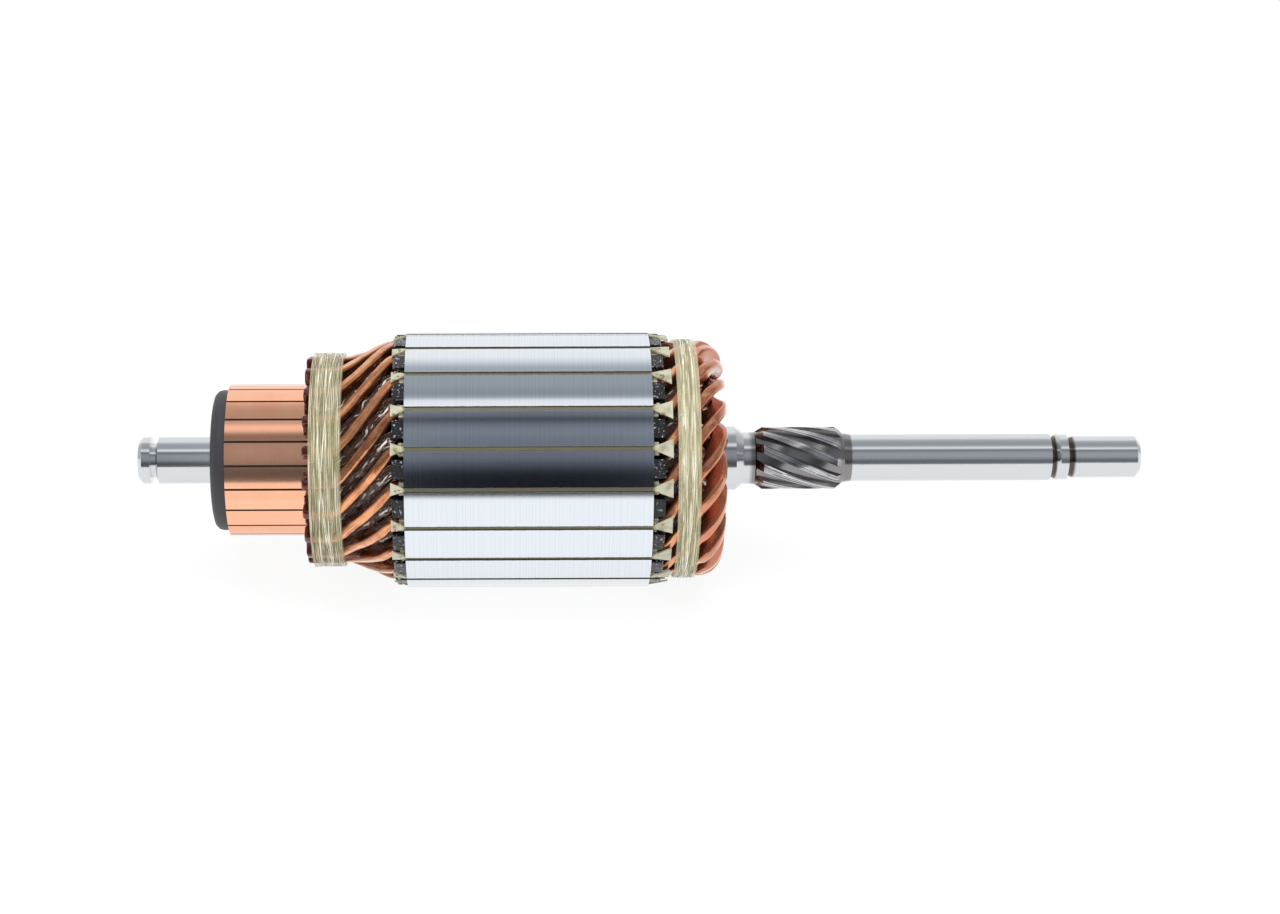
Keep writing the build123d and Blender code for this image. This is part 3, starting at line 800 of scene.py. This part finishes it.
# Set resin gives glossy olive-amber lumps, cloudy where air was caught in them.
set_resin, tree, shader = new_material(
    "set_resin_beads", Roughness=0.15, Coat_Weight=1.0, Coat_Roughness=0.05
)
place = add_node(tree, "ShaderNodeTexCoord").outputs["Object"]
clouds = add_node(
    tree, "ShaderNodeTexNoise", {"Vector": place, "Scale": 1 / (BEAD_SIZE * MM), "Detail": 2.0}
).outputs["Fac"]
cloudy = add_node(
    tree, "ShaderNodeMapRange", {"Value": clouds, "From Min": 0.42, "From Max": 0.68}
).outputs[0]
bead_colour = add_node(
    tree,
    "ShaderNodeMix",
    {0: cloudy, 6: linear(BEAD_AMBER), 7: linear(BEAD_CLOUDY)},
    data_type="RGBA",
).outputs[2]
tree.links.new(bead_colour, shader.inputs["Base Color"])

bead_tree, given, result = new_pattern(
    "scattered_beads", Density=1.0, Bead=BEAD_SIZE * MM, Seed=1, Finish=set_resin
)
spots = add_node(
    bead_tree,
    "GeometryNodeDistributePointsOnFaces",
    {
        "Mesh": given.outputs["Geometry"],
        "Density": given.outputs["Density"],
        "Seed": given.outputs["Seed"],
    },
)
bead = add_node(
    bead_tree, "GeometryNodeMeshIcoSphere", {"Radius": given.outputs["Bead"], "Subdivisions": 3}
).outputs["Mesh"]
bead_girth = add_node(
    bead_tree,
    "FunctionNodeRandomValue",
    {"Min": (0.5, 0.4, 0.3), "Max": (1.6, 1.1, 0.9), "Seed": given.outputs["Seed"]},
    data_type="FLOAT_VECTOR",
).outputs[0]
scattered = add_node(
    bead_tree,
    "GeometryNodeInstanceOnPoints",
    {
        "Points": spots.outputs["Points"],
        "Instance": bead,
        "Rotation": spots.outputs["Rotation"],
        "Scale": bead_girth,
    },
).outputs[0]
solid = add_node(bead_tree, "GeometryNodeRealizeInstances", {"Geometry": scattered}).outputs[0]
smooth = add_node(bead_tree, "GeometryNodeSetShadeSmooth", {"Geometry": solid}).outputs[0]
finished = add_node(
    bead_tree, "GeometryNodeSetMaterial", {"Geometry": smooth, "Material": given.outputs["Finish"]}
).outputs[0]
bead_tree.links.new(finished, result.inputs[0])


def slot_end_patches(name, radius):
    """A small square over each slot at both ends of the core, where the resin gathers."""
    points, faces = [], []
    for edge, sense in ((CORE_LEFT, -1), (CORE_RIGHT, 1)):
        for slot in range(SLOTS):
            first = len(points)
            for out, around in ((PATCH_FROM, -1), (PATCH_FROM, 1), (PATCH_TO, 1), (PATCH_TO, -1)):
                turn = slot * PITCH + around * PATCH_WIDTH / 2 / radius
                spot = Vector((edge + sense * out, radius * cos(turn), radius * sin(turn)))
                points.append(spot * MM)
            faces.append((first, first + 1, first + 2, first + 3))
    mesh = bpy.data.meshes.new(name)
    mesh.from_pydata(points, [], faces)
    return mesh


insulator_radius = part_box("commutator_end_insulator")[1].z / MM
beads = grow(
    "resin_beads",
    slot_end_patches("slot_end_patches", insulator_radius),
    bead_tree,
    Density=BEADS_PER_MM2 / MM**2,
    Bead=BEAD_SIZE * MM,
    Seed=5,
    Finish=set_resin,
)
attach(beads, "root")

# Commutator. Twenty wedges of hard-drawn copper moulded into black phenolic, then turned to a bright
# brush track. The moulding shows as the rounded nose and as the dark floor of each saw cut.
TURNING_LINE, WEAR_PATCH = 0.22, 5.0
BAR_COPPER = "#ffc6a4"
WORN_COPPER = "#f3a382"
NOSE_BLACK = "#2d2c30"

# Turned copper gives a salmon mirror with fine rings round it, here coarser than real so that they
# show. Each bar has worn to its own tone.
bar_copper, tree, shader = new_material("turned_bar_copper", Metallic=1.0)
place = add_node(tree, "ShaderNodeTexCoord").outputs["Object"]
axes = add_node(tree, "ShaderNodeSeparateXYZ", {0: place})
along = axes.outputs["X"]
turn = add_node(
    tree, "ShaderNodeMath", {0: axes.outputs["Z"], 1: axes.outputs["Y"]}, operation="ARCTAN2"
).outputs[0]
bar_number = add_node(
    tree, "ShaderNodeMath", {0: turn, 1: SLOTS / (2 * pi)}, operation="MULTIPLY"
).outputs[0]
bar_number = add_node(tree, "ShaderNodeMath", {0: bar_number}, operation="ROUND").outputs[0]
bar_tone = add_node(
    tree, "ShaderNodeTexWhiteNoise", {"W": bar_number}, noise_dimensions="1D"
).outputs["Value"]
wear = add_node(
    tree, "ShaderNodeTexNoise", {"Vector": place, "Scale": 1 / (WEAR_PATCH * MM), "Detail": 4.0}
).outputs["Fac"]
wear = add_node(tree, "ShaderNodeMath", {0: wear, 1: bar_tone}, operation="MULTIPLY").outputs[0]
bar_colour = add_node(
    tree,
    "ShaderNodeMix",
    {0: wear, 6: linear(BAR_COPPER), 7: linear(WORN_COPPER)},
    data_type="RGBA",
).outputs[2]
tree.links.new(bar_colour, shader.inputs["Base Color"])
turning = add_node(
    tree,
    "ShaderNodeTexNoise",
    {"W": along, "Scale": 1 / (TURNING_LINE * MM), "Detail": 3.0},
    noise_dimensions="1D",
).outputs["Fac"]
roughness = add_node(
    tree, "ShaderNodeMapRange", {"Value": turning, "To Min": 0.1, "To Max": 0.18}
).outputs[0]
bump = add_node(tree, "ShaderNodeBump", {"Height": turning, "Strength": 0.4, "Distance": 0.006 * MM})
tree.links.new(roughness, shader.inputs["Roughness"])
tree.links.new(bump.outputs[0], shader.inputs["Normal"])
dress(bar_copper, *[f"commutator_bar_{number:02d}" for number in range(1, SLOTS + 1)])

# Filled phenolic gives an even, matt near-black.
nose_moulding, tree, shader = new_material(
    "moulded_nose_phenolic", Base_Color=linear(NOSE_BLACK), Roughness=0.5
)
dress(nose_moulding, "commutator_body")

# Bands. Glass yarn soaked in resin, wound tight over both ends of the winding and cured. The resin
# film between the strands lets the copper show through, and a few loose turns lie slanted on top.
RESIN_FILM = "#cbc4a0"
YARN_LIGHT = "#efebd2"
YARN_DARK = "#938b5e"
STRAY_WHITE = "#fbfaf4"
STRAY_CREAM = "#d3cdb0"
YARN_RADIUS, YARN_SIDES, STRAND_SINK = 0.12, 5, 0.05
BAND_SIDES = 2 * SLOTS
SOAKED_LENGTH = 5.0
STRAY_TURNS = 4

# Cured resin gives a thin, clear, straw-coloured film, which is thicker on the drive-end band.
for finish, node, cover in (
    ("thin_band_resin", "commutator_end_band", 0.13),
    ("thick_band_resin", "drive_end_band", 0.28),
):
    resin_film, tree, shader = new_material(
        finish, Base_Color=linear(RESIN_FILM), Roughness=0.25, Alpha=cover
    )
    dress(resin_film, node)

# Soaked glass yarn gives half-clear straw strands that go from light to dark along their length.
yarn, tree, shader = new_material("resin_soaked_glass_yarn", Roughness=0.3, Alpha=0.42, Coat_Weight=0.4)
place = add_node(tree, "ShaderNodeTexCoord").outputs["Object"]
fine_around = add_node(
    tree, "ShaderNodeVectorMath", {0: place, 1: (25.0, 1.0, 1.0)}, operation="MULTIPLY"
).outputs[0]
strand_tone = add_node(
    tree, "ShaderNodeTexNoise", {"Vector": fine_around, "Scale": 130.0, "Detail": 2.0}
).outputs["Fac"]
strand_share = add_node(
    tree, "ShaderNodeMapRange", {"Value": strand_tone, "From Min": 0.38, "From Max": 0.62}
).outputs[0]
strand_colour = add_node(
    tree,
    "ShaderNodeMix",
    {0: strand_share, 6: linear(YARN_DARK), 7: linear(YARN_LIGHT)},
    data_type="RGBA",
).outputs[2]
tree.links.new(strand_colour, shader.inputs["Base Color"])

# Dry glass yarn gives white threads, creamy only where the resin reached them.
stray_yarn, tree, shader = new_material("loose_glass_yarn", Roughness=0.3, Alpha=0.75)
place = add_node(tree, "ShaderNodeTexCoord").outputs["Object"]
soaking = add_node(
    tree, "ShaderNodeTexNoise", {"Vector": place, "Scale": 1 / (SOAKED_LENGTH * MM), "Detail": 2.0}
).outputs["Fac"]
soaking = add_node(
    tree, "ShaderNodeMapRange", {"Value": soaking, "From Min": 0.4, "From Max": 0.6}
).outputs[0]
stray_colour = add_node(
    tree,
    "ShaderNodeMix",
    {0: soaking, 6: linear(STRAY_WHITE), 7: linear(STRAY_CREAM)},
    data_type="RGBA",
).outputs[2]
tree.links.new(stray_colour, shader.inputs["Base Color"])

yarn_tree, given, result = new_pattern(
    "wound_yarn",
    Turns=20,
    Start=0.0,
    Pitch=0.3 * MM,
    Stray=0.1 * MM,
    Tilt=0.01,
    Swell=0.005,
    Seed=1,
    Finish=yarn,
)
turns = add_node(yarn_tree, "GeometryNodePoints", {"Count": given.outputs["Turns"]})
index = add_node(yarn_tree, "GeometryNodeInputIndex").outputs[0]
along = add_node(
    yarn_tree,
    "ShaderNodeMath",
    {0: index, 1: given.outputs["Pitch"], 2: given.outputs["Start"]},
    operation="MULTIPLY_ADD",
).outputs[0]


def random_about_zero(size, offset):
    """A random value for each turn of yarn, between minus and plus a size."""
    low = add_node(yarn_tree, "ShaderNodeMath", {0: size, 1: -1.0}, operation="MULTIPLY").outputs[0]
    seed = add_node(
        yarn_tree, "ShaderNodeMath", {0: given.outputs["Seed"], 1: float(offset)}, operation="ADD"
    ).outputs[0]
    return add_node(
        yarn_tree, "FunctionNodeRandomValue", {"Min": low, "Max": size, "Seed": seed}, data_type="FLOAT"
    ).outputs[1]


strayed = add_node(
    yarn_tree,
    "ShaderNodeMath",
    {0: along, 1: random_about_zero(given.outputs["Stray"], 10)},
    operation="ADD",
).outputs[0]
spot = add_node(yarn_tree, "ShaderNodeCombineXYZ", {"X": strayed}).outputs[0]
spots = add_node(
    yarn_tree, "GeometryNodeSetPosition", {"Geometry": turns.outputs[0], "Position": spot}
).outputs[0]
lean = add_node(
    yarn_tree,
    "ShaderNodeCombineXYZ",
    {
        "X": random_about_zero(given.outputs["Tilt"], 20),
        "Y": random_about_zero(given.outputs["Tilt"], 30),
        "Z": random_about_zero(given.outputs["Tilt"], 40),
    },
).outputs[0]
swollen = add_node(
    yarn_tree,
    "ShaderNodeMath",
    {0: random_about_zero(given.outputs["Swell"], 50), 1: 1.0},
    operation="ADD",
).outputs[0]
girth = add_node(yarn_tree, "ShaderNodeCombineXYZ", {"X": 1.0, "Y": swollen, "Z": swollen}).outputs[0]
wound = add_node(
    yarn_tree,
    "GeometryNodeInstanceOnPoints",
    {"Points": spots, "Instance": given.outputs["Geometry"], "Rotation": lean, "Scale": girth},
).outputs[0]
solid = add_node(yarn_tree, "GeometryNodeRealizeInstances", {"Geometry": wound}).outputs[0]
finished = add_node(
    yarn_tree, "GeometryNodeSetMaterial", {"Geometry": solid, "Material": given.outputs["Finish"]}
).outputs[0]
yarn_tree.links.new(finished, result.inputs[0])


def strand_mesh(name, radius):
    """One closed turn of yarn, pulled straight from corner to corner of the band."""
    points, faces = [], []
    for step in range(BAND_SIDES):
        turn = 2 * pi * step / BAND_SIDES
        for side in range(YARN_SIDES):
            angle = 2 * pi * side / YARN_SIDES
            reach = radius + YARN_RADIUS * cos(angle)
            points.append(
                (YARN_RADIUS * sin(angle) * MM, reach * cos(turn) * MM, reach * sin(turn) * MM)
            )
            ahead = (side + 1) % YARN_SIDES
            low, high = step * YARN_SIDES, (step + 1) % BAND_SIDES * YARN_SIDES
            faces.append((low + side, low + ahead, high + ahead, high + side))
    mesh = bpy.data.meshes.new(name)
    mesh.from_pydata(points, [], faces)
    mesh.shade_smooth()
    return mesh


for node, pitch, stray, tilt, seed in (
    ("commutator_end_band", 0.36, 0.06, 0.002, 3),
    ("drive_end_band", 0.2, 0.1, 0.018, 7),
):
    low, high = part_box(node)
    outer = high.z / MM - STRAND_SINK
    margin = YARN_RADIUS + stray + outer * tilt
    turns_wound = int(((high.x - low.x) / MM - 2 * margin) / pitch) + 1
    strands = grow(
        node + "_yarn",
        strand_mesh(node + "_strand", outer),
        yarn_tree,
        Turns=turns_wound,
        Start=low.x + margin * MM,
        Pitch=pitch * MM,
        Stray=stray * MM,
        Tilt=tilt,
        Swell=0.004,
        Seed=seed,
        Finish=yarn,
    )
    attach(strands, "root")
    widest_lean = ((high.x - low.x) / MM / 2 - 4 * YARN_RADIUS) / (sqrt(2) * outer)
    strays = grow(
        node + "_stray_yarn",
        strand_mesh(node + "_stray_strand", outer),
        yarn_tree,
        Turns=STRAY_TURNS,
        Start=(low.x + high.x) / 2,
        Pitch=0.0,
        Stray=YARN_RADIUS * MM,
        Tilt=widest_lean,
        Swell=0.002,
        Seed=seed + 1,
        Finish=stray_yarn,
    )
    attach(strays, "root")

# Studio. A pale paper floor and a white backdrop under two soft lamps. Shiny metal sees the room round
# it: grey side walls, a white ceiling strip, a white wall behind, and dark cards in front of the core
# and at the far left.
WHITE_PAPER = "#f4f4f4"

# Matt paper gives an even, pale floor that takes a soft shadow. Straight views and reflections see it
# nearly white, like the backdrop.
floor_paper, tree, shader = new_material(
    "pale_studio_floor", Base_Color=linear(WHITE_PAPER), Roughness=0.9
)
seen = add_node(tree, "ShaderNodeLightPath")
direct = add_node(
    tree,
    "ShaderNodeMath",
    {0: seen.outputs["Is Camera Ray"], 1: seen.outputs["Is Glossy Ray"]},
    operation="MAXIMUM",
).outputs[0]
direct = add_node(
    tree,
    "ShaderNodeMath",
    {0: direct, 1: seen.outputs["Is Transmission Ray"]},
    operation="MAXIMUM",
).outputs[0]
share = add_node(tree, "ShaderNodeMath", {0: direct, 1: 0.9}, operation="MULTIPLY").outputs[0]
glow = add_node(tree, "ShaderNodeEmission", {"Color": (1, 1, 1, 1), "Strength": 1.0}).outputs[0]
mixed = add_node(tree, "ShaderNodeMixShader", {0: share, 1: shader.outputs[0], 2: glow}).outputs[0]
tree.links.new(mixed, tree.nodes["Material Output"].inputs["Surface"])

FLOOR_HALF, FLOOR_FRONT = 4.0, 0.8
floor_mesh = bpy.data.meshes.new("studio_floor")
floor_z = -CORE_RADIUS * MM
floor_mesh.from_pydata(
    [
        (-FLOOR_HALF, -FLOOR_FRONT, floor_z),
        (FLOOR_HALF, -FLOOR_FRONT, floor_z),
        (FLOOR_HALF, FLOOR_HALF, floor_z),
        (-FLOOR_HALF, FLOOR_HALF, floor_z),
    ],
    [],
    [(0, 1, 2, 3)],
)
floor_mesh.materials.append(floor_paper)
studio_floor = bpy.data.objects.new("studio_floor", floor_mesh)
bpy.context.scene.collection.objects.link(studio_floor)

world = bpy.data.worlds.new("studio_room")
bpy.context.scene.world = world
world.use_nodes = True
tree = world.node_tree
tree.nodes.clear()
toward = add_node(tree, "ShaderNodeTexCoord").outputs["Generated"]
axes = add_node(tree, "ShaderNodeSeparateXYZ", {0: toward})
front = add_node(
    tree, "ShaderNodeMath", {0: axes.outputs["Y"], 1: -1.0}, operation="MULTIPLY"
).outputs[0]
height = add_node(
    tree, "ShaderNodeMath", {0: axes.outputs["Z"], 1: front}, operation="ARCTAN2"
).outputs[0]
share = add_node(tree, "ShaderNodeMath", {0: height, 1: pi}, operation="DIVIDE").outputs[0]
room = add_node(tree, "ShaderNodeValToRGB", {0: share})
left_light = add_node(
    tree,
    "ShaderNodeMapRange",
    {"Value": axes.outputs["X"], "From Min": -0.03, "From Max": -0.06, "To Max": 0.32},
).outputs[0]
side_walls = add_node(
    tree,
    "ShaderNodeMix",
    {0: left_light, 6: room.outputs[0], 7: room.outputs[0]},
    data_type="RGBA",
    blend_type="ADD",
    clamp_result=True,
).outputs[2]
# Reflected colours by the angle above the horizon in front, over the ceiling at 90 degrees, to the
# horizon behind at 180: first the side walls of the room, then the dark card before the core.
ramp_stops = (
    (0, "#8e9195"),
    (6, "#75797f"),
    (15, "#73777d"),
    (22, "#8f9297"),
    (30, "#a9acb0"),
    (45, "#b2b4b8"),
    (57, "#a8abb0"),
    (65, "#85888d"),
    (72, "#a3a5a9"),
    (76, "#ffffff"),
    (82, "#ffffff"),
    (85, "#dadbdd"),
    (90, "#bdbfc3"),
    (98, "#a9acb0"),
    (112, "#b0b2b6"),
    (124, "#c0c2c5"),
    (133, "#dfe0e2"),
    (141, "#ffffff"),
    (180, "#ffffff"),
)
card_stops = (
    (0, "#16191f"),
    (6, "#0d1017"),
    (14, "#0d1017"),
    (20, "#1d2129"),
    (26, "#454b54"),
    (33, "#686e76"),
    (45, "#6f757f"),
    (57, "#80868f"),
    (63, "#6c717a"),
    (67, "#3f444c"),
    (74, "#7c8188"),
    (78, "#ffffff"),
    (85, "#ffffff"),
    (88, "#a5a9b0"),
    (92, "#8f949b"),
    (102, "#a2a6ac"),
    (112, "#a0a4aa"),
    (122, "#b4b7bc"),
    (130, "#e8e9eb"),
    (136, "#ffffff"),
    (180, "#ffffff"),
)
# Places across the reflections, as shares of the view from the shaft towards +X.
CARD_MIDDLE, CARD_HALF, CARD_EDGE = 0.01, 0.074, 0.004
FAR_CARD, FAR_CARD_EDGE, FAR_CARD_SHARE = -0.114, 0.006, 0.7
SOFT_LIGHT = "#d8d8d8"
END_WALL = "#40383a"
ramp_colours = room.color_ramp.elements
for degrees_up, colour in ramp_stops[2:]:
    ramp_colours.new(degrees_up / 180)
for element, (degrees_up, colour) in zip(ramp_colours, ramp_stops):
    element.position = degrees_up / 180
    element.color = linear(colour)
sideways = add_node(
    tree, "ShaderNodeMath", {0: axes.outputs["X"], 1: CARD_MIDDLE}, operation="SUBTRACT"
).outputs[0]
sideways = add_node(tree, "ShaderNodeMath", {0: sideways}, operation="ABSOLUTE").outputs[0]
on_card = add_node(
    tree,
    "ShaderNodeMapRange",
    {"Value": sideways, "From Min": CARD_HALF + CARD_EDGE, "From Max": CARD_HALF - CARD_EDGE},
).outputs[0]
far_card = add_node(
    tree,
    "ShaderNodeMapRange",
    {
        "Value": axes.outputs["X"],
        "From Min": FAR_CARD + FAR_CARD_EDGE,
        "From Max": FAR_CARD - FAR_CARD_EDGE,
        "To Max": FAR_CARD_SHARE,
    },
).outputs[0]
on_card = add_node(tree, "ShaderNodeMath", {0: on_card, 1: far_card}, operation="MAXIMUM").outputs[0]
card = add_node(tree, "ShaderNodeValToRGB", {0: share})
card_colours = card.color_ramp.elements
for degrees_up, colour in card_stops[2:]:
    card_colours.new(degrees_up / 180)
for element, (degrees_up, colour) in zip(card_colours, card_stops):
    element.position = degrees_up / 180
    element.color = linear(colour)
walls = add_node(
    tree,
    "ShaderNodeMix",
    {0: on_card, 6: side_walls, 7: card.outputs[0]},
    data_type="RGBA",
).outputs[2]
end_wall = add_node(
    tree, "ShaderNodeMapRange", {"Value": sideways, "From Min": 0.3, "From Max": 0.7, "To Max": 0.4}
).outputs[0]
walls = add_node(
    tree,
    "ShaderNodeMix",
    {0: end_wall, 6: walls, 7: linear(END_WALL)},
    data_type="RGBA",
).outputs[2]
path = add_node(tree, "ShaderNodeLightPath")
soft = add_node(
    tree,
    "ShaderNodeMix",
    {0: path.outputs["Is Glossy Ray"], 6: linear(SOFT_LIGHT), 7: walls},
    data_type="RGBA",
).outputs[2]
white = add_node(
    tree,
    "ShaderNodeMix",
    {0: path.outputs["Is Camera Ray"], 6: soft, 7: (1, 1, 1, 1)},
    data_type="RGBA",
).outputs[2]
shine = add_node(tree, "ShaderNodeBackground", {"Color": white, "Strength": 1.0}).outputs[0]
add_node(tree, "ShaderNodeOutputWorld", {"Surface": shine})


def add_lamp(name, place, size, power):
    """A soft square lamp aimed at the middle of the core, left out of reflections."""
    lamp = bpy.data.lights.new(name, "AREA")
    lamp.size, lamp.energy = size, power
    holder = bpy.data.objects.new(name, lamp)
    aim = Vector(place) - Vector((-0.02, 0, 0))
    holder.matrix_world = Matrix.Translation(place) @ aim.to_track_quat("Z", "Y").to_matrix().to_4x4()
    holder.visible_glossy = False
    bpy.context.scene.collection.objects.link(holder)


add_lamp("overhead_softbox", (0.0, -0.1, 0.9), 0.8, 9.0)
add_lamp("front_softbox", (-0.3, -0.8, 0.5), 0.6, 5.0)

# Camera. It looks square to the shaft from 31.6 degrees above the floor, as the photograph does. Its
# distance is given in pixels of the photograph, which is 1280 wide.
VIEW_UP = 31.57
VIEW_ROLL = 0.22
DISTANCE_PX = 2600.0
PX_PER_MM = 4.2417
PHOTO_WIDTH_PX = 1280
SENSOR_WIDTH = 36
AIM_X = -32.2
camera = bpy.data.objects.new("camera", bpy.data.cameras.new("camera"))
bpy.context.scene.collection.objects.link(camera)
distance = DISTANCE_PX / PX_PER_MM * MM
camera.data.sensor_width = SENSOR_WIDTH
camera.data.lens = SENSOR_WIDTH * DISTANCE_PX / PHOTO_WIDTH_PX
camera.data.shift_x = 0.1078
camera.data.shift_y = 0.0016
camera.matrix_world = (
    Matrix.Translation((AIM_X * MM, -distance * cos(radians(VIEW_UP)), distance * sin(radians(VIEW_UP))))
    @ Matrix.Rotation(radians(90 - VIEW_UP), 4, "X")
    @ Matrix.Rotation(radians(-VIEW_ROLL), 4, "Z")
)
camera.data.clip_start = 0.01
bpy.context.scene.camera = camera
bpy.context.scene.view_settings.view_transform = "Standard"
